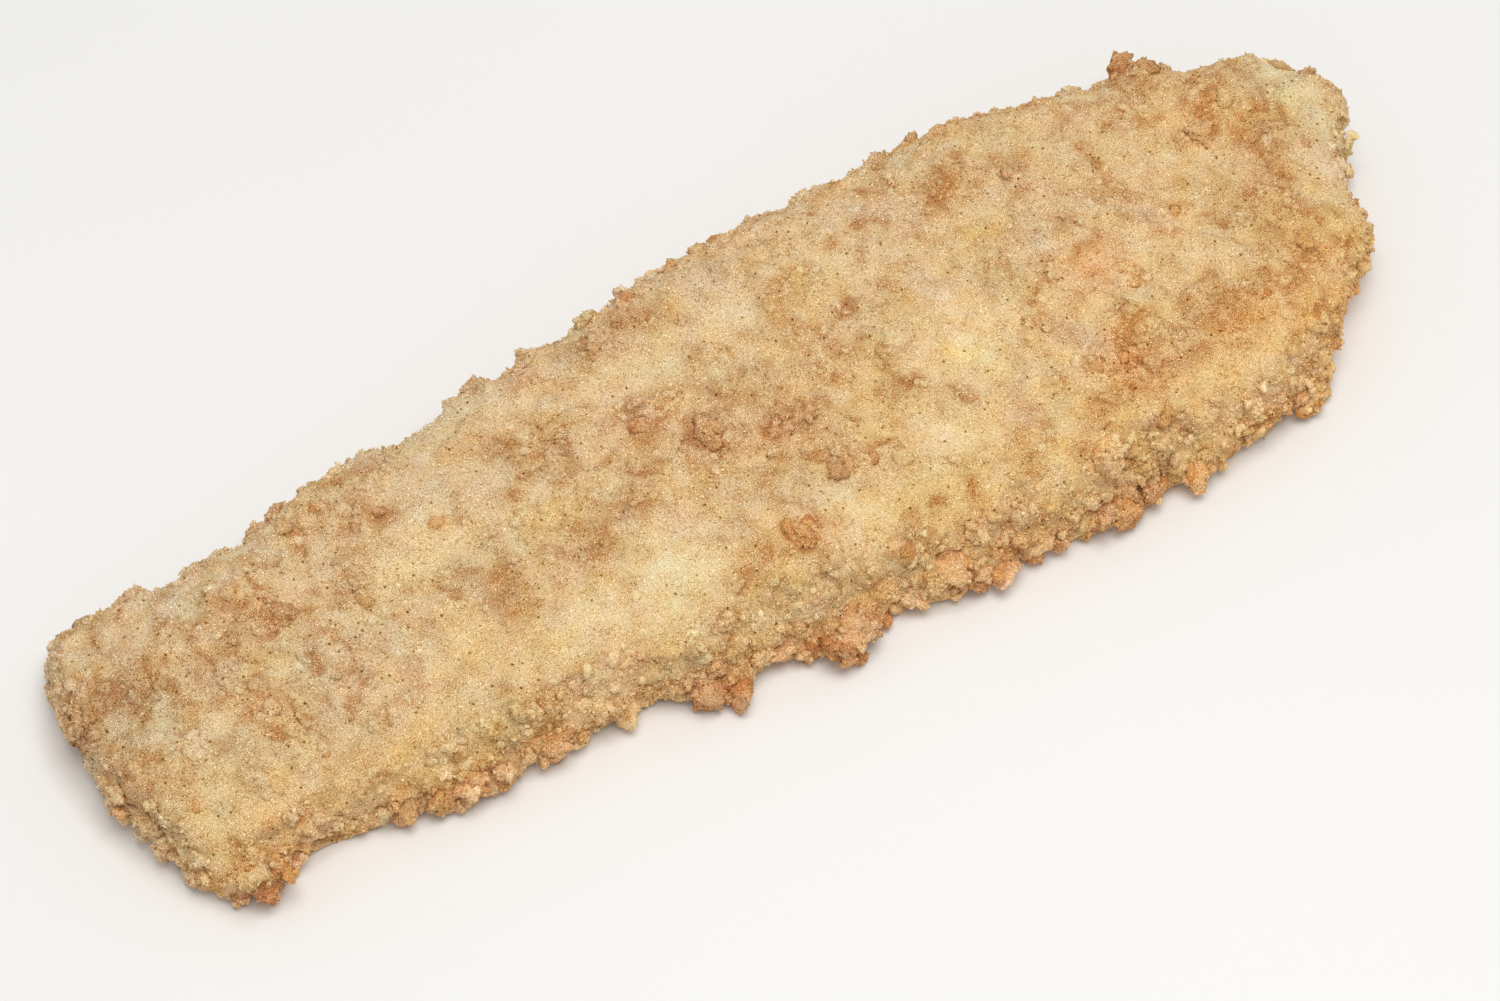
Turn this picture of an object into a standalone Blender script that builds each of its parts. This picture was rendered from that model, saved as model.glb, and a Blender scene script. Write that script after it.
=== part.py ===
"""A crumbed and fried fish fillet, in one piece, lying on its flat underside.

The fillet is one solid: crumb coat and fish hold together, and nothing of the inside shows. A cube is cut
into a grid, and each grid point is carried to its place on the fillet by the plan outline, the rounded edge
and the thickness. The relief of the crumb coat then moves the points out and in.

Frame: metres, +Z up. The origin is the middle of the underside's box. +X runs along the fillet towards the
broad head end, the straighter long side faces -Y, and the underside lies on Z = 0.
"""

import math

import bmesh
import bpy
from mathutils import Vector, noise

MM = 0.001

# Driving dimensions.
LENGTH = 200 * MM
WIDTH = 66 * MM
THICKNESS = 17 * MM

# The plan outline, as four edges that meet at the corners. The points are shares of the length and the
# width, from the middle, so that a longer or wider fillet keeps its form.
NEAR_EDGE = [(-0.465, -0.400), (-0.36, -0.405), (-0.25, -0.415), (-0.14, -0.430), (0.03, -0.475),
             (0.22, -0.495), (0.34, -0.450), (0.392, -0.345)]
HEAD_EDGE = [(0.392, -0.345), (0.438, -0.220), (0.460, -0.060), (0.492, 0.110), (0.486, 0.240),
             (0.443, 0.345)]
FAR_EDGE = [(-0.482, 0.270), (-0.37, 0.268), (-0.17, 0.360), (0.03, 0.445), (0.20, 0.470), (0.34, 0.415),
            (0.443, 0.345)]
TAIL_EDGE = [(-0.465, -0.400), (-0.492, -0.230), (-0.500, -0.030), (-0.502, 0.130), (-0.482, 0.270)]

# How thick the fillet is: (share of the length from the middle, share of the thickness).
THICKNESS_ALONG = [(-0.50, 0.76), (-0.30, 0.88), (0.00, 0.98), (0.25, 1.00), (0.42, 0.87), (0.50, 0.74)]
CROWN_DROP = 0.08  # share of the thickness that the top loses from the middle to a long side

# The rounded edge: how far it reaches in over the top from each side, and its squareness (2 is an ellipse).
NEAR_REACH, FAR_REACH = 9.5 * MM, 14 * MM
TAIL_REACH, HEAD_REACH = 6.5 * MM, 11 * MM
EDGE_SQUARENESS = 2.4
RIM_HEIGHT = 2.4 * MM  # where the side is widest
UNDERSIDE_INSET = 1.2 * MM  # the rounding from the rim down to the underside

# The grid, in cells. The rounded edge takes EDGE_CELLS of them on each side.
CELLS_ALONG, CELLS_ACROSS, CELLS_BELOW_RIM = 92, 33, 2
EDGE_CELLS = 6

# The relief of the crumb coat: how far it stands out, and over what distance it swells and sinks.
RELIEF = [(0.9 * MM, 26 * MM), (0.9 * MM, 9 * MM), (0.6 * MM, 5 * MM)]

# Clumps of crumb that stand out, and dents, with a height below zero: (place along, place across, radius,
# height) in millimetres. Those at the rim stand out sideways, and those on top stand out along the surface's
# normal.
CLUMPS_ON_TOP = [(-73, 4, 9, 1.8), (-78, -8, 5, 0.9), (-93, 3, 8, 1.2), (-61, 16, 6, 1.3), (-12, 3, 8, 1.3),
                 (2, -4, 7, 1.2), (-9, 21, 7, 1.4), (12, 15, 6, 1.2), (49, -14, 8, 1.4), (40, 18, 4, 1.2),
                 (75, 24, 6, 2.0), (82, 16, 7, 1.1), (-52, 22, 12, 1.3), (-34, 25, 8, 0.5), (25, 31, 6, 1.6),
                 (46, 32, 8, 0.9), (99, 19, 6, 1.8), (99, 9, 7, 1.8), (93, -10, 6, 2.0), (-79, 19, 9, -1.9),
                 (-12, 30, 10, -1.6), (57, 31, 7, -1.6), (86, 27, 9, -1.8)]
CLUMPS_AT_RIM = [(-89, -26, 7, 2.0), (-58, -26, 11, 2.9), (-46, -27, 5, 1.3), (-22, -28, 8, 3.2),
                 (-5, -31, 9, 3.9), (15, -31, 9, 1.5), (28, -32, 6, 0.6), (38, -32, 10, 2.0),
                 (50, -31, 6, 2.0), (71, -27, 7, 2.4), (-98, 15, 7, 1.4), (-98, -5, 5, 0.7), (97, -3, 7, 2.2),
                 (97, 9, 6, 1.6), (24, 31, 6, 1.0), (58, -31, 6, -1.2), (82, -20, 7, -1.2),
                 (-79, -26, 7, -1.3), (-99, 3, 6, -2.0), (-98, -14, 6, -0.8)]
RIM_BAND = 6 * MM  # the height up to which a clump counts as being at the rim

CRUST_COLOUR = (0.64, 0.42, 0.21, 1.0)
CRUST_ROUGHNESS = 0.8


def clear_scene():
    for obj in list(bpy.data.objects):
        bpy.data.objects.remove(obj)


def spline(points, share):
    """The point at this share, 0 to 1, of a smooth curve through the points, by Catmull and Rom's rule."""
    place = share * (len(points) - 1)
    index = min(int(place), len(points) - 2)
    t = place - index
    a, d = points[max(index - 1, 0)], points[min(index + 2, len(points) - 1)]
    b, c = points[index], points[index + 1]
    weights = (-t + 2 * t**2 - t**3, 2 - 5 * t**2 + 3 * t**3, t + 4 * t**2 - 3 * t**3, t**3 - t**2)
    return [sum(w * v for w, v in zip(weights, values)) / 2 for values in zip(a, b, c, d)]


def eased(table, place):
    """The value at a place of a table of (place, value) rows, with smooth steps between the rows."""
    for (low, value), (high, next_value) in zip(table, table[1:]):
        if place <= high:
            t = max(0.0, (place - low) / (high - low))
            return value + (next_value - value) * t * t * (3 - 2 * t)
    return table[-1][1]


def plan_point(along, across):
    """Where shares of the length and the width, 0 to 1, lie in plan. The plan is a patch stretched between
    the four edges: the long edges and the end edges add up, less the corners that both hold."""
    near, far = spline(NEAR_EDGE, along), spline(FAR_EDGE, along)
    tail, head = spline(TAIL_EDGE, across), spline(HEAD_EDGE, across)
    place = []
    for axis, size in enumerate((LENGTH, WIDTH)):
        long_edges = near[axis] * (1 - across) + far[axis] * across
        end_edges = tail[axis] * (1 - along) + head[axis] * along
        near_corners = NEAR_EDGE[0][axis] * (1 - along) + NEAR_EDGE[-1][axis] * along
        far_corners = FAR_EDGE[0][axis] * (1 - along) + FAR_EDGE[-1][axis] * along
        corners = near_corners * (1 - across) + far_corners * across
        place.append(size * (long_edges + end_edges - corners))
    return place


def rounded_edge(line, cells, low_reach, high_reach, span):
    """A grid line's share of the span, and the share of the full height that the rounded edge leaves it."""
    low, high = low_reach / span, 1 - high_reach / span
    from_end = min(line, cells - line)
    if from_end >= EDGE_CELLS:
        return low + (high - low) * (line - EDGE_CELLS) / (cells - 2 * EDGE_CELLS), 1.0
    angle = math.pi / 2 * from_end / EDGE_CELLS
    power = 2 / EDGE_SQUARENESS
    inward, height = 1 - math.cos(angle) ** power, math.sin(angle) ** power
    return (low * inward if line < cells / 2 else 1 - (1 - high) * inward), height


def plain_point(column, row, level):
    """A grid point's place on the fillet without relief. Level 0 is the underside."""
    along, height_along = rounded_edge(column, CELLS_ALONG, TAIL_REACH, HEAD_REACH, LENGTH)
    across, height_across = rounded_edge(row, CELLS_ACROSS, NEAR_REACH, FAR_REACH, WIDTH)
    x, y = plan_point(along, across)
    if level < CELLS_BELOW_RIM:
        below = 1 - level / CELLS_BELOW_RIM
        inset = UNDERSIDE_INSET * below * below
        return Vector((x * (1 - 2 * inset / LENGTH), y * (1 - 2 * inset / WIDTH), RIM_HEIGHT * (1 - below)))
    crown = 1 - CROWN_DROP * (2 * across - 1) ** 2
    top = THICKNESS * eased(THICKNESS_ALONG, x / LENGTH) * crown
    return Vector((x, y, RIM_HEIGHT + (top - RIM_HEIGHT) * height_along * height_across))


def grid_block():
    """A cube cut into the grid, with its vertices at whole numbers: their column, row and level."""
    bm = bmesh.new()
    bmesh.ops.create_cube(bm, size=1.0)
    bmesh.ops.translate(bm, verts=bm.verts, vec=(0.5, 0.5, 0.5))
    for axis, cells in enumerate((CELLS_ALONG, CELLS_ACROSS, CELLS_BELOW_RIM)):
        lines = [e for e in bm.edges if abs(e.verts[0].co[axis] - e.verts[1].co[axis]) > 0.5]
        bmesh.ops.subdivide_edges(bm, edges=lines, cuts=cells - 1, use_grid_fill=True)
        for vert in bm.verts:
            vert.co[axis] = round(vert.co[axis] * cells)
    return bm


def relief_height(place):
    """How far the crumb coat stands out of the plain fillet at a place."""
    height = 0.0
    for index, (swing, size) in enumerate(RELIEF):
        height += swing * noise.noise(place / size + Vector((7.3 * index, 0, 0)))
    for x, y, radius, stand in CLUMPS_AT_RIM if place.z < RIM_BAND else CLUMPS_ON_TOP:
        share = math.hypot(place.x / MM - x, place.y / MM - y) / radius
        if share < 1:
            height += stand * MM * (1 - share * share) ** 2
    return height


def shape_fillet(bm):
    """Carries the grid to the plain fillet, then adds the relief everywhere but on the flat underside."""
    for vert in bm.verts:
        vert.co = plain_point(*(round(number) for number in vert.co))
    bm.normal_update()
    places = [vert.co.copy() for vert in bm.verts]
    for vert, place in zip(bm.verts, places):
        if place.z == 0:
            continue
        outward = vert.normal.copy()
        if place.z < RIM_BAND:
            outward.z = 0
        vert.co += outward * relief_height(place)


def flatten_underside(bm):
    """Joins the flat faces of the underside into one."""
    underside = [face for face in bm.faces if all(vert.co.z == 0 for vert in face.verts)]
    bmesh.ops.dissolve_faces(bm, faces=underside, use_verts=False)


def centre_on_origin(bm):
    for axis in (0, 1):
        reach = [vert.co[axis] for vert in bm.verts]
        middle = (min(reach) + max(reach)) / 2
        for vert in bm.verts:
            vert.co[axis] -= middle


def crust_material():
    material = bpy.data.materials.new("fried_crumb")
    material.use_nodes = True
    shader = material.node_tree.nodes["Principled BSDF"]
    shader.inputs["Base Color"].default_value = CRUST_COLOUR
    shader.inputs["Roughness"].default_value = CRUST_ROUGHNESS
    shader.inputs["Metallic"].default_value = 0.0
    material.diffuse_color = CRUST_COLOUR
    return material


def make_fillet(collection):
    bm = grid_block()
    shape_fillet(bm)
    flatten_underside(bm)
    centre_on_origin(bm)
    bmesh.ops.recalc_face_normals(bm, faces=bm.faces)
    mesh = bpy.data.meshes.new("fillet")
    bm.to_mesh(mesh)
    bm.free()
    mesh.materials.append(crust_material())
    mesh.shade_smooth()
    collection.objects.link(bpy.data.objects.new("fillet", mesh))


clear_scene()
fish = bpy.data.collections.new("fried_fish_fillet")
bpy.context.scene.collection.children.link(fish)
make_fillet(fish)
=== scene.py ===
# %% [markdown]
# # A crumbed and fried fish fillet
#
# A fillet dipped in egg, rolled in dry breadcrumbs and fried has no smooth surface at all. Its outside is a
# coat of grains about half a millimetre to two millimetres across, thick and toasted in some places, thin and
# pale in others. This notebook dresses a plain solid fillet in such a coat: a rough crust first, then tens of
# thousands of real crumbs.
#
# The first step loads the solid fillet. Everything later takes its place and size from it.

# %% Load the solid fillet
import math

import bmesh
import bpy
import numpy as np
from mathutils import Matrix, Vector, noise


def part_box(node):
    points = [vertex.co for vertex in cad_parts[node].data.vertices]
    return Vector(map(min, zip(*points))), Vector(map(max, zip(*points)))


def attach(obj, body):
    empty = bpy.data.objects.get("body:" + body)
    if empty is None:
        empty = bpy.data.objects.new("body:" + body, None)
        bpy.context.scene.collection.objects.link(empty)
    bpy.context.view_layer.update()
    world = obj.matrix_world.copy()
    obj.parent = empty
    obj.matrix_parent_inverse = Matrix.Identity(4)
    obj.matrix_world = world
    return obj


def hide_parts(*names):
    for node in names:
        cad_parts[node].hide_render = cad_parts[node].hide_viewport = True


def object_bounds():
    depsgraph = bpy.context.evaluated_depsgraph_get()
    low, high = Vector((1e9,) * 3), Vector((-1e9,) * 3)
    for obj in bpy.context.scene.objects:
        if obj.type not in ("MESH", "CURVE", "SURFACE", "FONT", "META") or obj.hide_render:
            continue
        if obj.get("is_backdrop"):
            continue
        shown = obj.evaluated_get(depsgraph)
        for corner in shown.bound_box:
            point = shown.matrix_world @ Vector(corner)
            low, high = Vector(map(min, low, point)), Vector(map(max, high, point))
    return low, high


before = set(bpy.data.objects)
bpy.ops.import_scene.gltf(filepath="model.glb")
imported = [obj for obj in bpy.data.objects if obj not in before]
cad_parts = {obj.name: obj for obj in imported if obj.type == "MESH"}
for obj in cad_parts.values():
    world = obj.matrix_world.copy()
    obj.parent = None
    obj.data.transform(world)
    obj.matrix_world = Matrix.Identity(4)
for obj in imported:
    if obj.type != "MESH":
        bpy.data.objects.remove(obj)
solid_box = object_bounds()
low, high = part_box("fillet")
MM = 0.001
print("solid fillet:", [round(side / MM, 1) for side in high - low], "mm")

# %% [markdown]
# ## Where the view stands
#
# Food is usually shown from the seat of the person who will eat it: well above the plate, a little to one
# side. A long lens from further off keeps the far end as wide as it really is.
#
# The camera looks at a point inside the fillet. Turning an empty's rotation by hand would also do, but
# to_track_quat gives the rotation that points a camera's -Z axis along any direction.

# %% Camera
AZIMUTH, ELEVATION = math.radians(-30), math.radians(55)
CAMERA_DISTANCE = 0.65
looked_at = Vector((-0.029 * (high.x - low.x), -0.110 * (high.y - low.y), 0.36 * high.z))
towards_camera = Vector((math.sin(AZIMUTH) * math.cos(ELEVATION),
                         -math.cos(AZIMUTH) * math.cos(ELEVATION), math.sin(ELEVATION)))

camera_data = bpy.data.cameras.new("camera")
camera_data.lens = 117.3
camera = bpy.data.objects.new("camera", camera_data)
camera.location = looked_at + CAMERA_DISTANCE * towards_camera
camera.rotation_euler = towards_camera.to_track_quat("Z", "Y").to_euler()
bpy.context.scene.collection.objects.link(camera)
bpy.context.scene.camera = camera
print("camera at", [round(c, 3) for c in camera.location])

# %% [markdown]
# ## Soft light on a pale table
#
# Crumbs are read by the small shadows between them. One large lamp overhead gives each grain a light and a
# dark side, and a pale sky fills the shadows so that they stay soft. The Standard view keeps pale colours
# clean, where the film-like view would grey them.

# %% Lamps and sky
SKY_LIGHT = 0.505
LAMP_WATTS, LAMP_SIZE = 4.25, 0.5
LAMP_PLACE = Vector((0.0, -0.15, 0.85))

world = bpy.data.worlds.new("pale_room")
world.use_nodes = True
sky = world.node_tree.nodes["Background"]
sky.inputs["Color"].default_value = (1.0, 1.0, 1.0, 1.0)
sky.inputs["Strength"].default_value = SKY_LIGHT
bpy.context.scene.world = world
bpy.context.scene.view_settings.view_transform = "Standard"

lamp_data = bpy.data.lights.new("overhead_lamp", "AREA")
lamp_data.size = LAMP_SIZE
lamp_data.energy = LAMP_WATTS
lamp_data.color = (1.0, 0.98, 0.95)
lamp = bpy.data.objects.new("overhead_lamp", lamp_data)
lamp.location = LAMP_PLACE
lamp.rotation_euler = LAMP_PLACE.to_track_quat("Z", "Y").to_euler()
bpy.context.scene.collection.objects.link(lamp)
print("lamp", LAMP_SIZE, "m wide,", LAMP_WATTS, "W")

# %% [markdown]
# ## Materials as sums
#
# A material is a small calculation, and it reads best when it is written as one. The class below wraps an
# output of a node, and its operators add the Math nodes for +, -, * and /. Every other node comes from one
# method, which sets the node's own settings first, because a setting such as a noise's dimensions may change
# which inputs the node has.

# %% A class for shader sums
class Socket:
    """An output of a node. Operators on it add Math nodes."""

    def __init__(self, nodes, output):
        self.nodes, self.output = nodes, output

    def math(self, operation, *values):
        return self.nodes.add("ShaderNodeMath", values, operation=operation)

    def __add__(self, other):
        return self.math("ADD", self, other)

    def __radd__(self, other):
        return self.math("ADD", other, self)

    def __sub__(self, other):
        return self.math("SUBTRACT", self, other)

    def __rsub__(self, other):
        return self.math("SUBTRACT", other, self)

    def __mul__(self, other):
        return self.math("MULTIPLY", self, other)

    def __rmul__(self, other):
        return self.math("MULTIPLY", other, self)

    def __truediv__(self, other):
        return self.math("DIVIDE", self, other)

    def __rtruediv__(self, other):
        return self.math("DIVIDE", other, self)

    def clamped(self):
        return self.math("MAXIMUM", self.math("MINIMUM", self, 1.0), 0.0)


class Nodes:
    """The node tree of one new material."""

    def __init__(self, name):
        self.material = bpy.data.materials.new(name)
        self.material.use_nodes = True
        self.tree = self.material.node_tree
        self.shader = self.tree.nodes["Principled BSDF"]

    def add(self, kind, values=(), output=0, stops=(), **settings):
        """Adds a node. values are its inputs in order, or a dictionary of them by name."""
        node = self.tree.nodes.new(kind)
        for name, value in settings.items():
            setattr(node, name, value)
        for index, (position, colour) in enumerate(stops):
            ramp = node.color_ramp.elements
            stop = ramp[index] if index < len(ramp) else ramp.new(position)
            stop.position, stop.color = position, colour
        self.feed(node, values)
        return Socket(self, node.outputs[output])

    def feed(self, node, values):
        for key, value in values.items() if isinstance(values, dict) else enumerate(values):
            if isinstance(value, Socket):
                self.tree.links.new(value.output, node.inputs[key])
            else:
                node.inputs[key].default_value = value

    def finish(self, **values):
        """Feeds the material's shader, with _ for the spaces in its inputs' names."""
        self.feed(self.shader, {name.replace("_", " "): value for name, value in values.items()})
        return self.material


def paint(red, green, blue):
    """A colour given as it looks on a screen, 0 to 255, in the linear values that materials use."""
    screen = [channel / 255 for channel in (red, green, blue)]
    linear = [c / 12.92 if c <= 0.04045 else ((c + 0.055) / 1.055) ** 2.4 for c in screen]
    return (*linear, 1.0)


print("mid grey on a screen is", round(paint(119, 119, 119)[0], 3), "in linear values")

# %% [markdown]
# ## The table
#
# The table is only there to catch the fillet's soft shadow. A faint, slow change of tone keeps it from
# looking like cut paper.

# %% Table
TABLE_SIZE = 3.0

bm = bmesh.new()
bmesh.ops.create_grid(bm, x_segments=1, y_segments=1, size=TABLE_SIZE / 2)
table_mesh = bpy.data.meshes.new("table")
bm.to_mesh(table_mesh)
bm.free()
table = bpy.data.objects.new("table", table_mesh)
bpy.context.scene.collection.objects.link(table)

nodes = Nodes("pale_table")
place = nodes.add("ShaderNodeTexCoord", output="Object")
cloud = nodes.add("ShaderNodeTexNoise", {"Vector": place, "Scale": 3.0, "Detail": 2.0})
tone = nodes.add("ShaderNodeValToRGB", [cloud], stops=[(0.3, paint(243, 243, 242)), (0.7, paint(247, 247, 246))])
table_mesh.materials.append(nodes.finish(Base_Color=tone, Roughness=0.6))
table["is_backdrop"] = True
print("table", TABLE_SIZE, "m square")

# %% [markdown]
# ## Where the crust is toasted, and where it is pale
#
# Hot fat browns a crust unevenly. Thick clumps of crumb stand out of the batter and toast to orange brown,
# and where the coat is thin the pale fish shows through as creamy yellow. Both are patches with a place and a
# size. They are listed here once, in millimetres on the fillet's plan, and every later step asks the same two
# lists: the relief, the colours and the crumbs.

# %% Toasted and pale patches
# Each is (along, across, reach along, reach across, strength). +X is the broad head end.
TOASTED_ON_TOP = [
    (-94, 2, 9, 4, 0.95), (-96, -9, 4, 6, 0.65), (-75, 5, 4, 5, 0.8), (-71, 1, 3, 3, 0.55), (-60, 14, 4, 3, 0.5),
    (-52, 9, 3, 3, 0.4), (-53, 14, 3, 3, 0.35), (-77, -10, 4, 4, 0.6), (-85, -15, 4, 4, 0.3),
    (-65, -14, 5, 4, 0.25), (-43, -10, 3, 6, 0.8), (-33, 11, 4, 3, 0.5), (-27, 5, 3, 5, 0.5),
    (-30, -8, 4, 4, 0.8), (-22, -5, 4, 3, 0.6), (-16, 3.5, 3, 4, 0.9), (-9, -1, 4, 3, 0.75), (-4, 3, 3, 3, 0.3),
    (-10, 19.5, 7, 3, 0.75), (-9, -21, 8, 3, 0.7), (-22, -24, 3, 3, 0.3), (1, -6, 5, 5, 0.8), (6, -14, 5, 2, 0.5),
    (12, -17, 3, 3, 0.35), (-10, -10, 3, 3, 0.25), (4, 6, 3, 4, 0.25), (-85, 2, 4, 3, 0.25), (-76, -22, 5, 3, 0.25), (75, -22, 5, 4, 0.25), (10, 12, 4, 4, 0.35), (17, -7, 3, 3, 0.5), (24, 6, 3, 3, 0.5), (38, 16, 2.5, 3, 0.8),
    (40, 20, 4, 3, 0.5), (37, -24, 3, 5, 0.35), (46.5, -19.5, 4, 4, 0.8), (45, -24, 3, 4, 0.5),
    (54, -22, 4, 3, 0.45), (52, 15, 4, 3, 0.25), (60, -15, 3, 3, 0.4), (63, -20, 5, 4, 0.65), (72, 2, 4, 4, 0.25),
    (75, 13, 4, 4, 0.3), (84, 17, 5, 5, 0.45), (88, 19, 4, 4, 0.1), (84, 6, 6, 6, 0.6), (80, -4, 4, 5, 0.45),
    (76, -15, 5, 5, 0.45), (73, 25, 3, 4, 0.8), (98, 13, 3, 4, 0.25), (29, -21, 2, 2, 0.4),
]
TOASTED_AT_RIM = [
    (-88, -26, 6, 4, 0.7), (-60, -26, 9, 4, 0.5), (-23, -28, 5, 4, 1.0), (-4, -31, 6, 4, 0.9),
    (15, -30, 7, 4, 0.5), (38, -32, 8, 4, 0.8), (62, -31, 6, 4, 0.4), (95, -5, 5, 4, 0.6), (24, 31, 4, 4, 0.7),
    (-66, 19, 4, 4, 0.5), (-99, 6, 4, 6, 0.5),
]
PALE_ON_TOP = [
    (-23, -18, 6, 6, 1.0), (-36, -18, 7, 6, 0.7), (-55, -16, 10, 6, 0.35), (-50, 2.5, 6, 4, 0.6),
    (-44, 14, 4, 3, 0.3), (-37, 7, 4, 3, 0.4), (-27, 15, 4, 4, 0.35), (-12, 13, 7, 4, 0.6), (4, 14, 5, 4, 0.5),
    (11, -9, 3, 3, 0.3), (27, -3, 6, 6, 0.7), (35, -5, 5, 5, 0.5), (27, 12, 4, 3, 0.3), (18, -17, 5, 6, 0.7),
    (3, -20, 7, 4, 0.5), (93, 16, 5, 6, 0.8), (94, 6, 4, 6, 0.55), (90, -3, 4, 5, 0.6), (68, 8, 6, 5, 0.3), (57, -26, 10, 3, 0.45),
    (84, -12, 4, 4, 0.2), (49, -12.5, 4, 3, 0.45), (31, -24, 3, 4, 0.3), (71, -4, 4, 3, 0.3), (17, 16, 4, 4, 0.3), (-85, -8, 5, 5, 0.2), (-76, 14, 4, 3, 0.25), (-35, 16, 5, 4, 0.2), (50, -4, 6, 4, 0.15), (45, 7, 4, 5, 0.35), (36, -14, 5, 4, 0.4),
]
# Each is (along, across, reach along, reach across, redder, yellower), the last two in steps of a screen's 255.
HUES_ON_TOP = [
    (-92, -2, 7, 5, -8, -9), (-81, 12, 6, 5, -1, -3), (-75, 7, 4, 3, 4, 4), (-78, -7, 4, 5, 2, 1),
    (-90, -20, 5, 5, 0, 5), (-62, -8, 4, 3, 0, -4), (-62, 3, 3, 3, 0, -4), (-58, -18, 6, 4, 2, 1),
    (-52, -21, 5, 4, -3, 0), (-45, 12, 4, 3, 0, -3), (-47, 3, 4, 3, 1, -3), (-38, 7, 3, 3, 0, -4),
    (-33, -2, 5, 3, 1, 7), (-25, 20, 4, 4, 4, 1), (-22, -20, 4, 4, -4, -1), (-8, 20, 3, 4, 4, 0),
    (-12, 3, 7, 4, 4, 1), (-8, -3, 7, 2, 0, -6), (2, 3, 5, 2.5, -3, -6), (1, -6, 5, 3, 4, 1),
    (-5, -21, 8, 3, 5, 4), (-11, -15, 3, 3, 0, -4), (0, -15, 6, 3, -3, -5), (12, 13, 4, 4, 4, 5),
    (12, 27, 3, 3, 4, 3), (4, 22, 4, 5, -1, -6), (12, -13, 4, 4, 2, 5), (12, -24, 5, 4, 0, 5), (24, 5, 3, 3, 3, 6),
    (30, 19, 4, 4, 0, -4), (28, -7, 4, 3, 0, 4), (26, -15, 4, 4, 2, 0), (47, 5, 4, 4, -4, -6), (51, -4, 5, 5, 9, 3),
    (46, -17, 4, 6, 8, 4), (43, -12, 3, 2.5, -5, -13), (54, -11, 4, 2.5, -5, -9), (52, -20, 4, 3, -2, -4),
    (65, -20, 5, 4, 6, 4), (78, 13, 6, 5, 8, 9), (62, 2, 5, 3, -2, -5), (67, -8, 4, 3, -4, -5),
    (83, 5, 4, 3, 0, -4), (89, 8, 4, 4, 0, 3), (93, 14, 6, 7, -7, -8), (83, -12, 7, 7, -1, 4),
    (40, 24, 50, 5, -1, -2), (-40, 20, 25, 4, -2, -3), (60, -26, 30, 5, 3, 3), (0, -26, 35, 4, 2, 4), (-70, -25, 30, 5, 3, 6),
    (95, 5, 4, 5, -4, -2), (90, -3, 4, 5, -6, -16), (82, -18, 8, 5, 5, 2),
]
RIM_HEIGHT = 5 * MM  # below it, the patches at the rim count in place of those on top


def patches(places, table):
    """The summed strengths of a table's patches at each place. Every patch fades out smoothly at its reach."""
    total = 0
    for along, across, reach_along, reach_across, *strength in table:
        away = ((places[:, 0] / MM - along) / reach_along) ** 2 + ((places[:, 1] / MM - across) / reach_across) ** 2
        total = total + np.outer(strength, np.exp(-away))
    return total if len(total) > 1 else total[0]


print(len(TOASTED_ON_TOP) + len(TOASTED_AT_RIM), "toasted patches,", len(PALE_ON_TOP), "pale ones")

# %% [markdown]
# ## Noise on many points
#
# The lists give the large patches. Everything between them is chance, which noise imitates: a soft random
# number for every place, alike at places close together. Plain noise rolls like hills. Steps with broken edges
# come from running it through smooth_step, which stays at 0, rises over a short range, and stays at 1.

# %% Noise helpers
def waves(places, size, seed=0.0):
    """Soft noise from about -1 to 1, whose hills are about as far apart as size."""
    shift = Vector((seed, 1.7 * seed, 2.3 * seed))
    return np.array([noise.noise(Vector(place) / size + shift) for place in places])


def smooth_step(values, start, end):
    share = np.clip((values - start) / (end - start), 0, 1)
    return share * share * (3 - 2 * share)


sample = np.random.default_rng(1).uniform(0, 0.1, (500, 3))
print("noise runs from", waves(sample, 0.01).min().round(2), "to", waves(sample, 0.01).max().round(2))

# %% [markdown]
# ## The crust's body
#
# The crust has the solid's form, but its relief needs far more vertices than a solid for a simulation has.
# Subdivision would follow the solid's triangles, long and short alike. Voxel remeshing covers a form with
# even squares instead, so it suits a surface that gets fine relief all over. The loose triangles of the solid
# are merged first, because remeshing needs a closed form. The underside then gives up most of its vertices,
# so that the top and the sides can have more.

# %% Even mesh for the crust
VOXEL = 0.52 * MM
SMOOTH_ROUNDS = 14
KEPT_SHARE = 0.76  # of the triangles, after the underside is thinned


def evaluated_mesh(obj, name):
    """The mesh of an object with its modifiers applied."""
    state = bpy.context.evaluated_depsgraph_get()
    state.update()
    mesh = bpy.data.meshes.new_from_object(obj.evaluated_get(state), depsgraph=state)
    mesh.name = name
    return mesh


def draft_object(mesh):
    draft = bpy.data.objects.new("draft", mesh)
    bpy.context.scene.collection.objects.link(draft)
    return draft


bm = bmesh.new()
bm.from_mesh(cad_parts["fillet"].data)
bmesh.ops.remove_doubles(bm, verts=bm.verts, dist=0.002 * MM)
merged = bpy.data.meshes.new("merged_fillet")
bm.to_mesh(merged)
bm.free()
draft = draft_object(merged)
remesh = draft.modifiers.new("even_squares", "REMESH")
remesh.mode, remesh.voxel_size = "VOXEL", VOXEL
smooth = draft.modifiers.new("soften", "SMOOTH")
smooth.factor, smooth.iterations = 0.5, SMOOTH_ROUNDS
even_mesh = evaluated_mesh(draft, "even")
bpy.data.objects.remove(draft)

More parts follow.
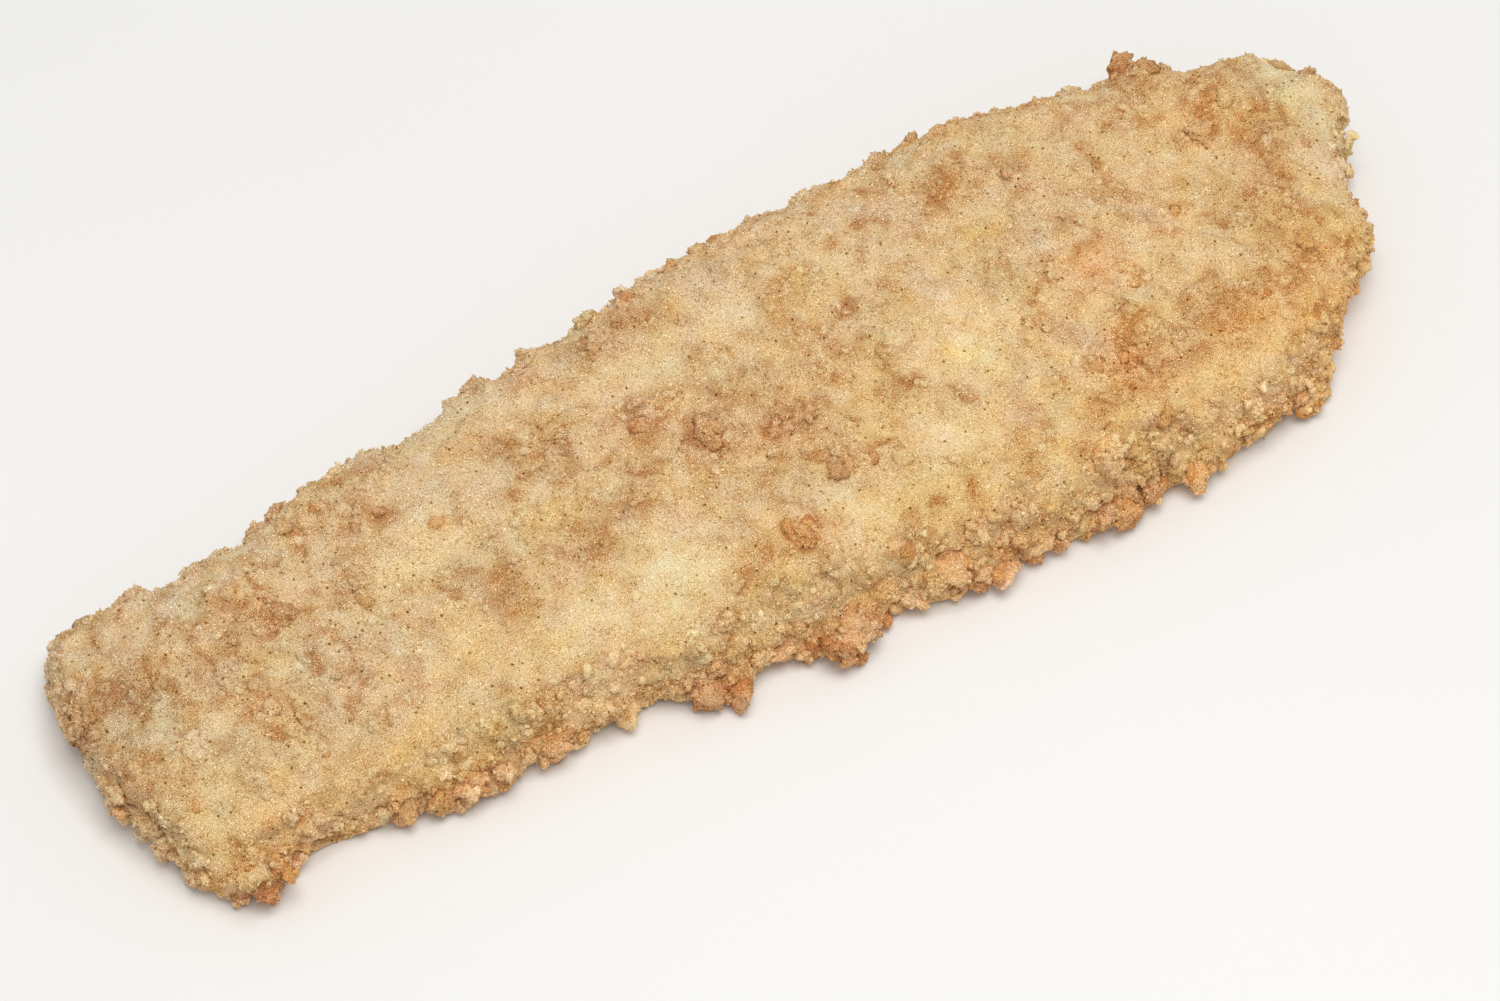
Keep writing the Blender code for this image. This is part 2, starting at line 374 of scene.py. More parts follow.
draft = draft_object(even_mesh)
below = draft.vertex_groups.new(name="underside")
below.add([v.index for v in even_mesh.vertices if v.co.z < 0.6 * MM and v.normal.z < -0.95], 1.0, "REPLACE")
thin = draft.modifiers.new("thin_out", "DECIMATE")
thin.ratio, thin.vertex_group = KEPT_SHARE, "underside"
crust_mesh = evaluated_mesh(draft, "crust")
bpy.data.objects.remove(draft)
crust_mesh.materials.clear()
crust_mesh.calc_loop_triangles()
print("crust:", len(crust_mesh.vertices), "vertices,", len(crust_mesh.loop_triangles), "triangles")

# %% [markdown]
# ## How thick and how toasted the coat is, point by point
#
# Two numbers per vertex drive all that follows. coat runs from 0, a thin film of crumb, to 1, a thick crust.
# toast runs from 0, creamy yellow, to 1, orange brown. They are related, as thick crumb toasts more, but each
# has its own noise. The rim toasts more than the top because it lay in the hottest fat.

# %% Coat and toast
def vertex_values(mesh, name, width=3):
    values = np.empty(len(mesh.vertices) * width, np.float32)
    mesh.vertices.foreach_get(name, values)
    return values.reshape(-1, width)


def coat_and_toast(places):
    at_rim = 1 - smooth_step(places[:, 2], RIM_HEIGHT, RIM_HEIGHT + 4 * MM)
    toasted = patches(places, TOASTED_ON_TOP) * (1 - at_rim) + patches(places, TOASTED_AT_RIM) * at_rim
    pale = patches(places, PALE_ON_TOP) * (1 - 0.6 * at_rim)
    broad, middling, fine = waves(places, 18 * MM, 3.1), waves(places, 7 * MM, 5.2), waves(places, 3 * MM, 9.4)
    coat = 0.52 + 0.15 * broad + 0.4 * middling + 0.6 * fine + 0.45 * toasted - 0.6 * pale + 0.25 * at_rim
    toast = 0.48 + 0.04 * broad + 0.12 * middling + 0.24 * fine + 0.44 * toasted - 0.36 * pale - 0.02 * at_rim
    return np.clip(coat, 0, 1), np.clip(toast, 0, 1)


def hues(places):
    """How much redder and how much yellower than its toast says the crust is, in steps of a screen's 255."""
    redder, yellower = patches(places, HUES_ON_TOP)
    along, across = places[:, 0] / MM, np.clip(places[:, 1] / MM, -20, 20)
    at_rim = 1 - smooth_step(places[:, 2], RIM_HEIGHT, RIM_HEIGHT + 4 * MM)
    ruddy, straw = waves(places, 9 * MM, 12.3), waves(places, 8 * MM, 14.9)
    redder = redder - 1.2 + 0.028 * along - 0.07 * across + 4 * at_rim + 5 * ruddy
    yellower = yellower - 1.0 + 0.05 * along - 0.15 * across + 2 * at_rim + 4 * ruddy + 5 * straw
    return redder, yellower


places = vertex_values(crust_mesh, "co")
coat, toast = coat_and_toast(places)
redder, yellower = hues(places)
print("coat", coat.mean().round(2), "toast", toast.mean().round(2), "on average")

# %% [markdown]
# ## The relief
#
# The coat's relief has steps of every size: slabs of crumb a few millimetres across with broken edges, lumps
# on them, and grains on those. Each size is one layer of noise, moved along the surface's normal. A few
# grooves are listed, among them the gap over the lip of crust that curls out of the near side, and the ledge
# further along it, where the coat split as it fried.

# %% Relief
CRUMB_ALLOWANCE = 0.35 * MM  # the crust's body lies this far under the solid, to leave room for its crumbs
RIM_ALLOWANCE = 0.8 * MM  # more of it at the rim, where the clumps are
GROOVES = [  # start, end (along, across, height), half width, depth, all in millimetres
    ((33, -29.5, 6.0), (45, -31.0, 4.5), 1.0, 1.6),
    ((-4, -28.0, 7.0), (10, -29.0, 7.5), 0.9, 0.9),
    ((-15, 18.0, 15.0), (-6, 19.0, 15.0), 0.8, 0.9),
]


def groove_depth(places, start, end, half_width, depth):
    start, end = np.array(start) * MM, np.array(end) * MM
    run = end - start
    share = np.clip((places - start) @ run / (run @ run), 0, 1)
    away = np.linalg.norm(places - start - share[:, None] * run, axis=1)
    return depth * MM * np.exp(-((away / (half_width * MM)) ** 2))


def relief(places, coat):
    rough = 0.1 + 1.15 * smooth_step(coat, 0.2, 0.9)
    height = 0.45 * MM * (smooth_step(coat, 0.4, 0.62) - 0.5) + 0.5 * MM * (coat - 0.5) - CRUMB_ALLOWANCE
    height += 0.25 * MM * rough * waves(places, 4.4 * MM, 1.3)
    lumps = 0.17 * MM * waves(places, 1.25 * MM, 4.8)
    lumps += 0.25 * MM * (smooth_step(waves(places, 3.2 * MM, 2.9), -0.05, 0.13) - 0.5)
    lumps += 0.17 * MM * (smooth_step(waves(places, 1.9 * MM, 7.1), 0.0, 0.2) - 0.4)
    cracks = 1 - smooth_step(np.abs(waves(places, 5.5 * MM, 8.8)), 0.0, 0.09)
    lumps = lumps * rough - 0.40 * MM * cracks * smooth_step(coat, 0.45, 0.7)
    for groove in GROOVES:
        height -= groove_depth(places, *groove)
    return height + lumps, lumps


normals = np.empty(len(crust_mesh.vertices) * 3, np.float32)
crust_mesh.vertex_normals.foreach_get("vector", normals)
normals = normals.reshape(-1, 3)
rise, lumps = relief(places, coat)
underneath = smooth_step(-normals[:, 2], 0.5, 0.9)
hollow = 0.7 * MM * smooth_step(waves(places, 14 * MM, 6.6), -0.2, 0.4) + 0.25 * MM
rise = rise * (1 - 0.5 * underneath) - hollow * underneath
at_rim = 1 - smooth_step(places[:, 2], 3 * MM, 7 * MM)
sideways = normals * [1, 1, 0]
rise_rim = at_rim * (1 - underneath) * (0.9 * MM * waves(places, 4.5 * MM, 7.7) - RIM_ALLOWANCE)
flank = 1 - smooth_step(np.abs(normals[:, 2]), 0.6, 0.95)
rise_rim += flank * (1 - at_rim) * (1.0 * MM * waves(places, 4.2 * MM, 21.1) - 0.1 * MM)
places = places + normals * rise[:, None] + sideways * rise_rim[:, None]
places[:, 2] = np.maximum(places[:, 2], 0.02 * MM)
crust_mesh.vertices.foreach_set("co", places.astype(np.float32).ravel())
crust_mesh.update()
print("relief from", (rise.min() / MM).round(2), "to", (rise.max() / MM).round(2), "mm")

# %% [markdown]
# ## A map for the crust
#
# The crust's colours are worked out in space, but whoever exports it needs a flat map to bake them on. A
# fillet unfolds like a loaf's crust: the top and its sides spread out into one sheet, and the underside is a
# second sheet. Points on the sides move outwards by how far they lie below the top, so the sides get room too.

# %% Unfolded map
SIDE_SPREAD = 1.0  # how far outwards a point on the side moves for each metre that it lies lower
TOP_SHARE = 0.6  # the share of the map's height for the top's sheet


def unfolded(mesh, places, normals):
    """A map of the mesh: the top and sides above, the underside below."""
    corner_vertex = np.empty(len(mesh.loops), np.int32)
    mesh.loops.foreach_get("vertex_index", corner_vertex)
    sizes = np.empty(len(mesh.polygons), np.int32)
    mesh.polygons.foreach_get("loop_total", sizes)
    face_normals = np.empty(len(mesh.polygons) * 3, np.float32)
    mesh.polygon_normals.foreach_get("vector", face_normals)
    starts = np.concatenate([[0], np.cumsum(sizes)[:-1]])
    face_height = np.add.reduceat(places[corner_vertex, 2], starts) / sizes
    below = (face_normals.reshape(-1, 3)[:, 2] < -0.75) & (face_height < 2.5 * MM)
    below = np.repeat(below, sizes)
    outwards = places[:, :2] / np.maximum(np.linalg.norm(places[:, :2] * [0.35, 1], axis=1), MM)[:, None]
    spread = places[:, :2] + outwards * [0.35, 1] * (high.z - places[:, 2:3]) * SIDE_SPREAD
    flat = np.where(below[:, None], places[corner_vertex, :2], spread[corner_vertex])
    for sheet, floor, ceiling in ((~below, 1 - TOP_SHARE, 1.0), (below, 0.0, 1 - TOP_SHARE)):
        least, most = flat[sheet].min(axis=0), flat[sheet].max(axis=0)
        flat[sheet] = (flat[sheet] - least) / (most - least) * 0.98 + 0.01
        flat[sheet, 1] = floor + flat[sheet, 1] * (ceiling - floor)
    layer = mesh.uv_layers.new(name="OFBake")
    layer.uv.foreach_set("vector", flat.astype(np.float32).ravel())


unfolded(crust_mesh, places, normals)
print("map:", crust_mesh.uv_layers[0].name)

# %% [markdown]
# ## The crust's finish
#
# Fried crumb is matt, with colours from cream through straw and tan to orange brown. toast picks the colour
# on a ramp, after fine noise has shaken it, so that neighbouring grains differ. The stored toast also holds
# painted shade: the crust's hollows and each crumb's foot are painted darker, and each crumb's top paler.
# A second noise leans the colour a little towards pink or grey, as real crumb does. The same material serves
# crust and crumbs: a crumb brings its own toast, and a tint that makes some grains lighter than others. Last,
# the grains' own tone, dark specks, painted highlights at glints and painted shade at the edges of tiny cells
# lighten and darken the colour, and where it darkens it loses blue first and red last, as warm painted shade.

# %% Crumb material
CRUMB_RAMP = [
    (0.00, paint(248, 229, 185)), (0.25, paint(237, 209, 161)), (0.50, paint(225, 190, 140)),
    (0.75, paint(210, 166, 113)), (1.00, paint(192, 137, 84)),
]


def crumb_material(name, grain_size, bump, roughness):
    """grain_size, in metres, is that of the finest grains that the bump draws."""
    nodes = Nodes(name)
    place = nodes.add("ShaderNodeTexCoord", output="Object")
    toast = nodes.add("ShaderNodeAttribute", output="Fac", attribute_name="toast")
    tint = nodes.add("ShaderNodeAttribute", output="Fac", attribute_name="tint")
    sand = nodes.add("ShaderNodeTexNoise",
                     {"Vector": place, "Scale": 2.2 / grain_size, "Detail": 1.0, "Roughness": 0.7})
    mottle = nodes.add("ShaderNodeTexNoise", {"Vector": place, "Scale": 0.12 / grain_size, "Detail": 2.0})
    cells = nodes.add("ShaderNodeTexVoronoi", {"Vector": place, "Scale": 0.7 / grain_size}, feature="F1")
    shaken = toast + (mottle - 0.5) * 0.28
    colour = nodes.add("ShaderNodeValToRGB", [shaken.clamped()], stops=CRUMB_RAMP)
    redder, yellower = (nodes.add("ShaderNodeAttribute", output="Fac", attribute_name=name)
                        for name in ("redder", "yellower"))
    ruddy, straw = (nodes.add("ShaderNodeTexNoise", {"Vector": place, "Scale": 250.0, "Detail": 2.0, "W": w},
                              noise_dimensions="4D") - 0.5 for w in (1.0, 5.0))
    redder = redder + ruddy * 15.0 + (mottle - 0.5) * 6.0
    yellower = yellower + ruddy * 18.0 + straw * 22.0 + (mottle - 0.5) * 20.0
    lean = nodes.add("ShaderNodeCombineColor", [redder * 0.0070 + yellower * 0.0012 + 1.0,
                                                yellower * 0.0015 - redder * 0.0044 + 1.0,
                                                1.0 - yellower * 0.0156])
    leaning = nodes.add("ShaderNodeMix", {"Factor": 1.0, "A": colour, "B": lean}, output="Result",
                        data_type="RGBA", blend_type="MULTIPLY")
    specks = nodes.add("ShaderNodeTexVoronoi", {"Vector": place, "Scale": 0.19 / grain_size}, feature="F1")
    glints = nodes.add("ShaderNodeTexVoronoi", {"Vector": place, "Scale": 0.35 / grain_size}, feature="F1")
    # The colour's lightness comes from the grains' own tone (sand and tint) and dark specks, plus painted highlights
    # at the glints and painted shade towards the edges of the cells, between grains.
    dark = (specks * 12.5 - 0.8).clamped() * 0.75 + 0.25
    painted_glint_light = (1.0 - glints * 9.0).clamped() * 0.9 + 1.0
    swing = sand - 0.5
    grain = swing * (swing * swing * 85.0 + 0.7) * (toast * 1.0 + 0.5)
    tone_and_painted_light = tint * dark * painted_glint_light * (1.034 - cells * 0.14) * (grain + 1.0)
    # Where the colour darkens, real tone and painted shade alike, it loses blue first and red last, so the painted
    # shade comes out warm, like shade lit by light bounced off other crumbs.
    shade = nodes.add("ShaderNodeCombineColor", [tone_and_painted_light * 0.83 + 0.17, tone_and_painted_light, tone_and_painted_light.math("MAXIMUM", tone_and_painted_light * 1.45 - 0.45, 0.02)])
    lit = nodes.add("ShaderNodeMix", {"Factor": 1.0, "A": leaning, "B": shade}, output="Result",
                    data_type="RGBA", blend_type="MULTIPLY")
    height = sand * 0.7 - cells * 0.5
    bumped = nodes.add("ShaderNodeBump", {"Height": height, "Strength": bump, "Distance": 0.4 * grain_size})
    return nodes.finish(Base_Color=lit, Roughness=roughness, Normal=bumped, Specular_IOR_Level=0.25)


crust_finish = crumb_material("fried_crust", 0.36 * MM, bump=0.35, roughness=0.85)
crumb_finish = crumb_material("fried_crumb", 0.36 * MM, bump=0.3, roughness=0.8)
print("ramp of", len(CRUMB_RAMP), "colours from cream to orange brown")

# %% Crust piece
HOLLOW_PAINTED_SHADE = 0.26  # painted shade: how much more toasted, and so darker, a hollow 0.3 mm deep is painted than its surroundings


def add_values(mesh, **values):
    for name, numbers in values.items():
        attribute = mesh.attributes.new(name, "FLOAT", "POINT")
        attribute.data.foreach_set("value", np.asarray(numbers, np.float32))


def place_piece(mesh, material):
    mesh.materials.append(material)
    piece = bpy.data.objects.new(mesh.name, mesh)
    bpy.context.scene.collection.objects.link(piece)
    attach(piece, "root")
    return piece


# The hollows of the relief are painted darker than their toast, as painted shade.
toast_and_painted_shade = np.clip(toast - HOLLOW_PAINTED_SHADE * lumps / (0.3 * MM), 0, 1)
add_values(crust_mesh, toast=toast_and_painted_shade, tint=np.full(len(toast), 0.97), redder=redder, yellower=yellower)
crust_mesh.shade_smooth()
crust = place_piece(crust_mesh, crust_finish)
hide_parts("fillet")
print("crust placed, standing for the solid fillet")

# %% [markdown]
# ## Shapes of crumb
#
# A dry crumb is a broken bit with flat sides and blunt corners. Cutting a ball by random planes gives just
# that: along each direction, the nearest plane says how far out the surface lies. Grit is too fine to show
# sides, so three-sided pyramids will do for it. Clumps are many crumbs stuck together, so they get lumps too.

# %% Crumb shapes
SHAPES_PER_KIND = 10


def start_form(style):
    bm = bmesh.new()
    if style == "grit":
        bmesh.ops.create_cone(bm, cap_ends=True, segments=3, radius1=0.6, radius2=0, depth=0.8)
    else:
        detail = {"crumb": 1, "flake": 2, "clump": 3, "chunk": 3}[style]
        bmesh.ops.create_icosphere(bm, subdivisions=detail, radius=0.5)
    bmesh.ops.triangulate(bm, faces=bm.faces)
    return bm


def broken(directions, cuts, corner, rng):
    """How far out a ball's surface lies in each direction, after cuts by random planes. corner is the furthest."""
    planes = rng.normal(size=(cuts, 3))
    planes /= np.linalg.norm(planes, axis=1)[:, None]
    facing = np.maximum(directions @ planes.T, 1e-6)
    return np.minimum(corner, (rng.uniform(0.24, 0.46, cuts) / facing).min(axis=1))


def crumb_shapes(style, seed):
    """Several crumbs of about 1 across, as (places of the vertices, corners of the triangles)."""
    rng = np.random.default_rng(seed)
    shapes = []
    for number in range(SHAPES_PER_KIND):
        bm = start_form(style)
        places = np.array([vert.co[:] for vert in bm.verts])
        corners = np.array([[vert.index for vert in face.verts] for face in bm.faces])
        bm.free()
        if style == "grit":
            places *= rng.uniform(0.75, 1.25, (len(places), 3))
        else:
            directions = places / np.linalg.norm(places, axis=1)[:, None]
            lumps = {"clump": 0.25, "chunk": 0.16}.get(style, 0) * waves(directions, 0.35, 3.3 * number)
            cuts, corner = (12, 0.72) if style == "chunk" else (9, 0.58)
            reach = broken(directions, cuts, corner, rng) + lumps + rng.uniform(-0.03, 0.03, len(places))
            places = directions * reach[:, None]
        shapes.append((places, corners))
    return shapes


print("corners of a grit grain, a crumb, a flake and a clump:",
      [len(crumb_shapes(style, 0)[0][0]) for style in ("grit", "crumb", "flake", "clump")])

# %% [markdown]
# ## Scattering
#
# Crumbs lie where the coat is. Picking a triangle of the crust by its area times a weight, and then a random
# point in it, spreads them evenly over the surface wherever the weight is the same. Geometry Nodes can do this
# too, but with arrays each crumb's numbers, such as its toast, are at hand as it is made. All crumbs of a kind
# become one mesh. A crumb sits partly sunk in the crust, and none reaches below the table.

# %% Scatter function
PER_POINT = ("coat", "toast", "redder", "yellower", "rim", "side", "underside")  # what a surface knows at each of its points
CEILING = high.z + 0.45 * MM  # no crumb reaches above it
SIDE_RISE = 0.15  # how much further crumbs on the sides stand out, as a share of their width
RIM_RISE = 0.1  # the same for crumbs low on the rim
PAINTED_TOP_LIGHT = {"grit": 0.0, "crumb": 0.2, "flake": 0.2, "clump": 0.2, "chunk": 0.5}  # painted light and shade: a crumb's toast drops by this much per width of height, so its top is painted paler and its foot darker


def triangles_of(mesh):
    mesh.calc_loop_triangles()
    corners = np.empty(len(mesh.loop_triangles) * 3, np.int32)
    mesh.loop_triangles.foreach_get("vertices", corners)
    return corners.reshape(-1, 3)


def random_turns(rng, count):
    """Rotation matrices from random quaternions, which favour no direction."""
    q = rng.normal(size=(count, 4))
    w, x, y, z = (q / np.linalg.norm(q, axis=1)[:, None]).T
    rows = [[1 - 2 * (y * y + z * z), 2 * (x * y - z * w), 2 * (x * z + y * w)],
            [2 * (x * y + z * w), 1 - 2 * (x * x + z * z), 2 * (y * z - x * w)],
            [2 * (x * z - y * w), 2 * (y * z + x * w), 1 - 2 * (x * x + y * y)]]
    return np.array(rows).transpose(2, 0, 1)


def pick_spots(surface, weight, count, rng):
    """Random spots on a surface, as a dictionary like the surface's own, with the normals there."""
    corners = surface["corners"]
    a, b, c = (surface["places"][corners[:, i]] for i in range(3))
    across = np.cross(b - a, c - a)
    area = np.linalg.norm(across, axis=1)
    chance = area * (weight * surface["bare"])[corners].mean(axis=1)
    picked = rng.choice(len(corners), size=count, p=chance / chance.sum())
    share = rng.dirichlet((1, 1, 1), size=count)
    spots = {"places": (surface["places"][corners[picked]] * share[:, :, None]).sum(axis=1),
             "normals": across[picked] / area[picked, None]}
    for name in PER_POINT:
        spots[name] = (surface[name][corners[picked]] * share).sum(axis=1)
    return spots


def nearest_spots(surface, wanted):
    """The surface's points nearest to the wanted ones, in the same form as pick_spots gives them."""
    near = [int(np.argmin(np.linalg.norm(surface["places"] - place, axis=1))) for place in wanted]
    return {name: surface[name][near] for name in ("places", "normals", *PER_POINT)}


def grow(spots, style, size, spread, sunk, flatness, toast_shift, hue, tint, seed):
    """Makes a crumb at each spot, and gives them all as one surface. size, in metres, is the usual width."""
    rng = np.random.default_rng(seed)
    count, normals = len(spots["places"]), spots["normals"]
    width = size * np.exp(rng.normal(0, spread, count)).clip(0.6, 1.8)
    stretch = rng.uniform(0.7, 1.3, (count, 3)) * width[:, None]
    turns = random_turns(rng, count)
    own = {name: spots[name] for name in PER_POINT}
    own["toast"] = np.clip(spots["toast"] + rng.normal(*toast_shift, count), 0, 1)
    own["tint"] = rng.normal(*tint, count).clip(0.7, 1.25)
    own["redder"], own["yellower"] = own["redder"] + hue[0], own["yellower"] + hue[1]
    cells = math.ceil(math.sqrt(count))
    kind = rng.integers(0, SHAPES_PER_KIND, count)
    made, offset = [], 0
    for number, (shape, shape_corners) in enumerate(crumb_shapes(style, seed)):
        mine = np.flatnonzero(kind == number)
        points = np.einsum("nij,nvj->nvi", turns[mine], shape[None] * stretch[mine, None])
        up = np.einsum("nvi,ni->nv", points, normals[mine])
        rise = SIDE_RISE * spots["side"] * (1 - spots["rim"]) + RIM_RISE * spots["rim"]
        standing = (0.5 - sunk + rise[mine]) * width[mine]
        shift = standing[:, None] - flatness * up
        points += spots["places"][mine, None] + shift[:, :, None] * normals[mine, None]
        points[:, :, 2] += np.maximum(0.02 * MM - points[:, :, 2].min(axis=1), 0)[:, None]
        points[:, :, 2] -= np.maximum(points[:, :, 2].max(axis=1) - CEILING, 0)[:, None]
        cell = np.stack([mine % cells, mine // cells], 1)[:, None] + 0.5 + 0.6 * shape[None, :, :2]
        part = {name: np.repeat(values[mine], len(shape)) for name, values in own.items()}
        # Painted light and shade: each crumb's top is painted paler and its foot darker.
        part["toast"] = np.clip(part["toast"] - PAINTED_TOP_LIGHT[style] * (up / width[mine, None]).ravel(), 0, 1)
        part["places"] = points.reshape(-1, 3)
        part["normals"] = np.repeat(normals[mine], len(shape), axis=0)
        part["bare"] = (up + shift > 0).astype(float).ravel()
        part["corners"] = (offset + np.arange(len(mine))[:, None, None] * len(shape)
                           + shape_corners[None]).reshape(-1, 3)
        part["map"] = (cell / cells)[:, shape_corners.ravel()].reshape(-1, 2)
        offset += len(mine) * len(shape)
        made.append(part)
    return {name: np.concatenate([part[name] for part in made]) for name in made[0]}


def crumb_piece(name, crumbs, smooth=True):
    mesh = bpy.data.meshes.new(name)
    mesh.vertices.add(len(crumbs["places"]))
    mesh.vertices.foreach_set("co", crumbs["places"].astype(np.float32).ravel())
    mesh.loops.add(crumbs["corners"].size)
    mesh.loops.foreach_set("vertex_index", crumbs["corners"].astype(np.int32).ravel())
    mesh.polygons.add(len(crumbs["corners"]))
    mesh.polygons.foreach_set("loop_start", np.arange(0, crumbs["corners"].size, 3, dtype=np.int32))
    mesh.update(calc_edges=True)
    mesh.uv_layers.new(name="OFBake").uv.foreach_set("vector", crumbs["map"].astype(np.float32).ravel())
    add_values(mesh, **{name: crumbs[name] for name in ("toast", "tint", "redder", "yellower")})
    mesh.validate()
    if not smooth:
        mesh.shade_flat()
    return place_piece(mesh, crumb_finish)


def joined(first, second):
    """One surface from two, for the next crumbs to lie on."""
    both = {name: np.concatenate([first[name], second[name]]) for name in ("places", "normals", "bare", *PER_POINT)}
    both["corners"] = np.concatenate([first["corners"], second["corners"] + len(first["places"])])
    return both


underside = smooth_step(-normals[:, 2], 0.3, 0.8)
surface = {
    "places": places, "normals": normals, "corners": triangles_of(crust_mesh), "bare": np.ones(len(places)),
    "coat": coat, "toast": toast, "redder": redder, "yellower": yellower, "underside": underside,
    "rim": (1 - smooth_step(places[:, 2], 2.5 * MM, 6 * MM)) * (1 - underside),
    "side": 1 - smooth_step(np.abs(normals[:, 2]), 0.5, 0.9),
}
print("crumbs will lie on", len(surface["corners"]), "triangles")

# %% [markdown]
# ## Clumps that anyone would notice
#
# A few clumps are so large that they belong to this very fillet: a knob on the far edge, a row of lumps under
# the near side, a broken slab near the tail. These have places of their own, and the crust's nearest point
# takes each.

# %% Large clumps
LARGE_CLUMPS = np.array([  # along, across and height in millimetres
    (24, 31.5, 10), (98, 1, 8),
    (-76, 6, 15), (-73, 4, 15), (-70, 2, 15), (-71, 5, 15), (-77, -9, 14), (-94, 4, 11), (-91, 3, 12),
    (-98, -8, 4), (-97, -16, 3), (-14, 20, 15), (-16, 4, 17), (-9, -1, 17),
    (0, -3, 18), (47, -18, 16), (49, -20, 15), (50, 31, 11), (-54, 20, 11),
    (-86, 17, 9), (-30, 25, 11), (-1, 30, 11), (50, -33, 3), (62, -31, 3), (70, -29, 3),
]) * MM
CHUNKS = np.array([  # along, across, height and width in millimetres, and how much more toasted
    (-88, -25, 2, 4.5, 0.1), (-82, -25, 2, 3, 0.15), (-68, -25, 2, 4, 0.2), (-66.5, -24.5, 4.5, 3.2, 0.0),
    (-58, -26.5, 4, 4, -0.05), (-54, -26, 3, 3, 0.0), (-61, -23.5, 7, 3, -0.1), (-46, -26.5, 2, 4.5, 0.05),
    (-42, -26, 2.5, 3, 0.05), (-36, -27, 2, 4.5, 0.0), (-23, -29, 3, 4.8, 0.15), (-21, -30, 2.5, 4, 0.25),
    (-22.5, -28, 6, 4, 0.1), (-13.5, -29, 3, 4, 0.05), (-9.5, -30, 2, 3.5, 0.3), (-4, -30.5, 5, 5.2, -0.05),
    (-1, -31, 4, 4.5, 0.0), (-6, -32, 2, 5, 0.25), (3, -31, 2, 3, 0.35), (6.5, -31, 3, 4.5, -0.05),
    (12.5, -30, 6, 5.5, -0.05), (16, -31, 4, 4, -0.05), (19.5, -31.5, 3, 4.5, -0.05), (24, -32, 3, 4.5, 0.0),
    (28, -31.5, 2, 3, 0.25), (34, -32, 4, 4, 0.1), (38, -33, 3.5, 4.5, 0.05), (43, -33.5, 3, 4.5, 0.0),
    (48, -34, 4, 4, 0.0),
    (73.8, 26, 13, 4.4, 0.25), (75.5, 24.5, 13.5, 3, 0.1), (97.3, 14.6, 12, 2.6, 0.25), (94, -6, 7, 2.5, 0.2),
    (92.5, -8, 6.5, 3, 0.2), (91, -10.5, 6, 2.5, 0.2), (89.4, -12.8, 6, 2.5, 0.2), (84, -17.5, 5, 2.4, 0.2),
    (-62.6, 20, 11, 2.8, 0.25), (-66.2, 18.2, 11, 3.2, 0.25), (-58.6, 14.4, 14, 3.2, 0.0), (-51, 10, 15.2, 2.2, 0.2),
    (-21, 25.9, 12, 1.2, -0.1), (-23.2, 25.2, 12, 1, -0.1), (-7.2, 22.6, 14, 2.8, 0.1), (-11.9, 20.5, 15, 3.6, -0.1),
])
chunk_place, chunk_width, chunk_toast = CHUNKS[:, :3] * MM, CHUNKS[:, 3] * MM, CHUNKS[:, 4]
for name, wanted, recipe in (
    ("large_clumps", LARGE_CLUMPS, ("clump", 3.6 * MM, 0.2, 0.66, 0.35, (0.0, 0.06), (2, 2), (0.99, 0.03), 5)),
    ("chunks", chunk_place, ("chunk", chunk_width, 0.05, 0.56, 0.15, (chunk_toast + 0.08, 0.03), (4, -1), (1.0, 0.03), 6)),
):
    large = grow(nearest_spots(surface, wanted), *recipe)
    crumb_piece(name, large)
    if name == "chunks":
        for number in ("coat", "rim", "side"):
            large[number] *= 0.5  # chunks carry fewer coarse crumbs than the crust around them
    surface = joined(surface, large)
    print(name, len(wanted))

# %% [markdown]
# ## The crumbs
#
# The kinds go from coarse to fine, and each lies on the crust and on the coarser ones before it, so a clump
# gets its own crumbs and grit. Clumps and flakes gather where the coat is thick and toasted, and along the
# rim, where loose crumb from the pan stuck. The grit lies everywhere and gives the surface its sandy look.

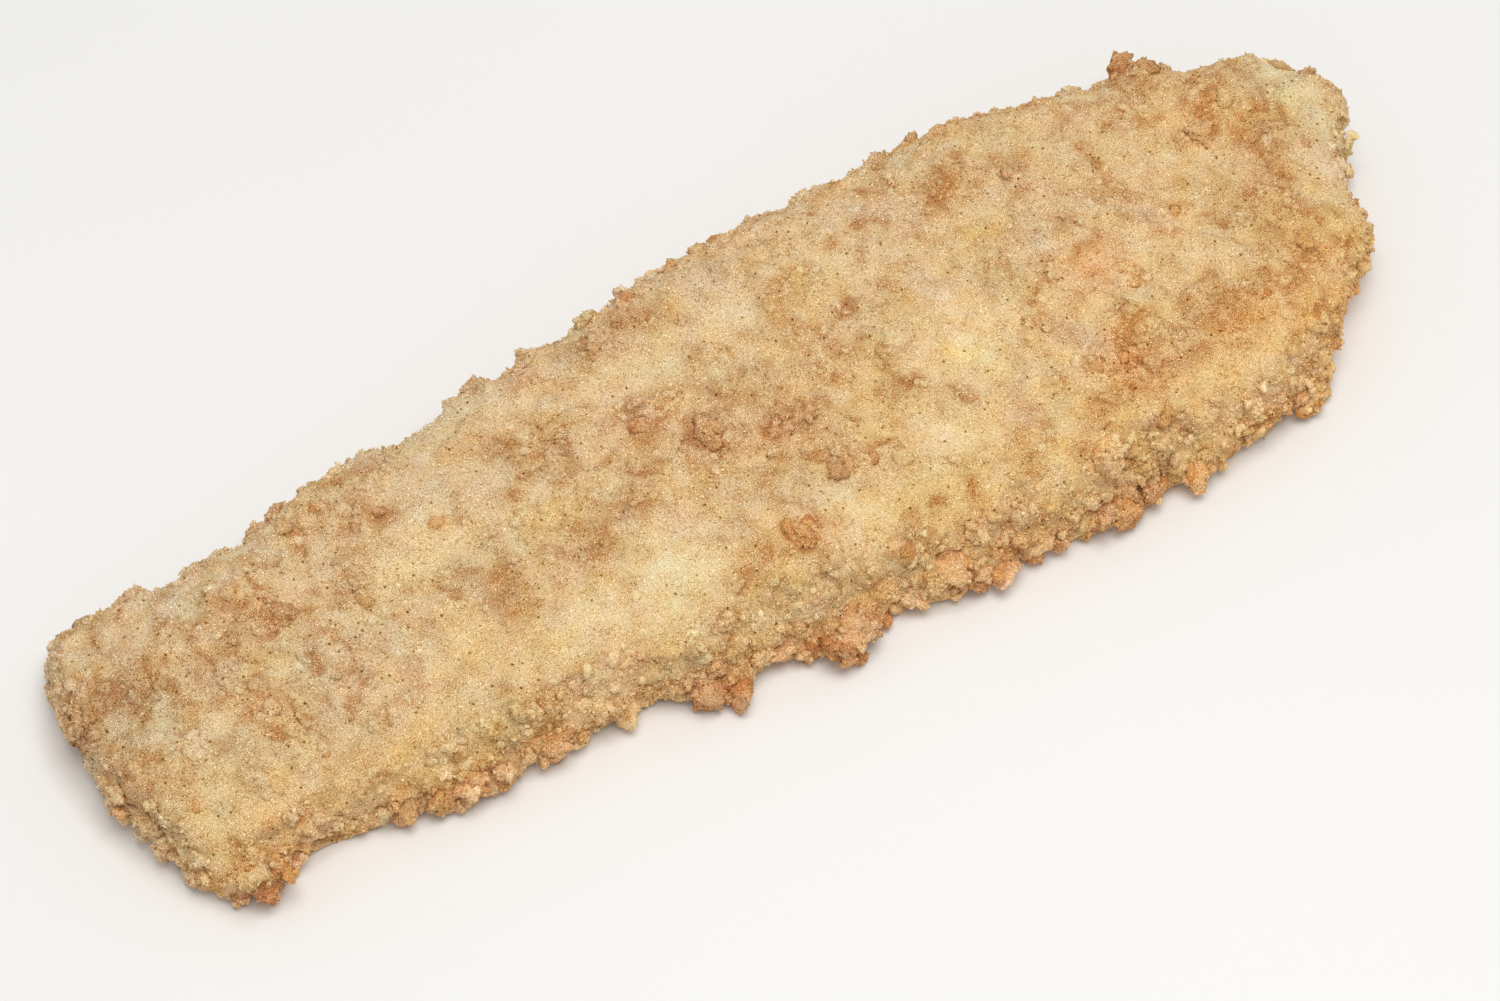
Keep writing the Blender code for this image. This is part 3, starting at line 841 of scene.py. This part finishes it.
# %% Crumbs of every kind
KINDS = {  # name: count, style, width, spread, sunk, flatness, toast (shift, spread), hue, tint (mean, spread)
    "clumps": (520, "clump", 2.2 * MM, 0.32, 0.66, 0.3, (0.0, 0.08), (1, 0), (0.99, 0.04)),
    "toasted_bits": (130, "flake", 2.1 * MM, 0.25, 0.64, 0.3, (0.26, 0.08), (5, 7), (1.0, 0.04)),
    "flakes": (2400, "flake", 1.5 * MM, 0.28, 0.69, 0.4, (-0.07, 0.07), (0, 0), (1.01, 0.04)),
    "crumbs": (9900, "crumb", 0.95 * MM, 0.28, 0.7, 0.3, (-0.05, 0.05), (0, 0), (1.01, 0.05)),
    "pale_grit": (49000, "grit", 0.38 * MM, 0.25, 0.62, 0.0, (-0.04, 0.03), (0, 0), (1.02, 0.05)),
    "golden_grit": (49000, "grit", 0.40 * MM, 0.25, 0.62, 0.0, (0.03, 0.03), (0, 0), (0.98, 0.05)),
}


def weight_of(name, surface):
    """How densely a kind lies at each point of the surface."""
    coat, toast, rim = surface["coat"], surface["toast"], surface["rim"]
    top = 1 - 0.8 * surface["underside"]
    return 1e-6 + top * {
        "clumps": coat**4 * toast**2 + 0.3 * rim + 0.25 * surface["side"],
        "toasted_bits": 0.1 + coat**2 + 0.5 * rim,
        "flakes": 0.03 + coat**4 + 0.1 * rim + 0.4 * surface["side"],
        "crumbs": 0.05 + coat**4 + 0.3 * surface["side"],
        "pale_grit": 1.1 - 0.4 * coat,
        "golden_grit": 0.6 + 0.6 * coat,
    }[name]


for seed, (name, (count, *recipe)) in enumerate(KINDS.items(), start=11):
    spots = pick_spots(surface, weight_of(name, surface), count, np.random.default_rng(seed + 100))
    crumbs = grow(spots, *recipe, seed)
    piece = crumb_piece(name, crumbs, smooth=recipe[0] != "grit")
    surface = joined(surface, crumbs)
    print(name, count, "of them,", len(piece.data.polygons), "triangles")

# %% [markdown]
# ## Measure and finish
#
# The dressed fillet has to be as big as the solid one, give or take its loose crumbs.

# %% Sizes
sizes = {"solid": [list(corner) for corner in solid_box], "dressed": [list(corner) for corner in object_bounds()]}
print("dressed:", [round((b - a) / MM, 1) for a, b in zip(*sizes["dressed"])], "mm")
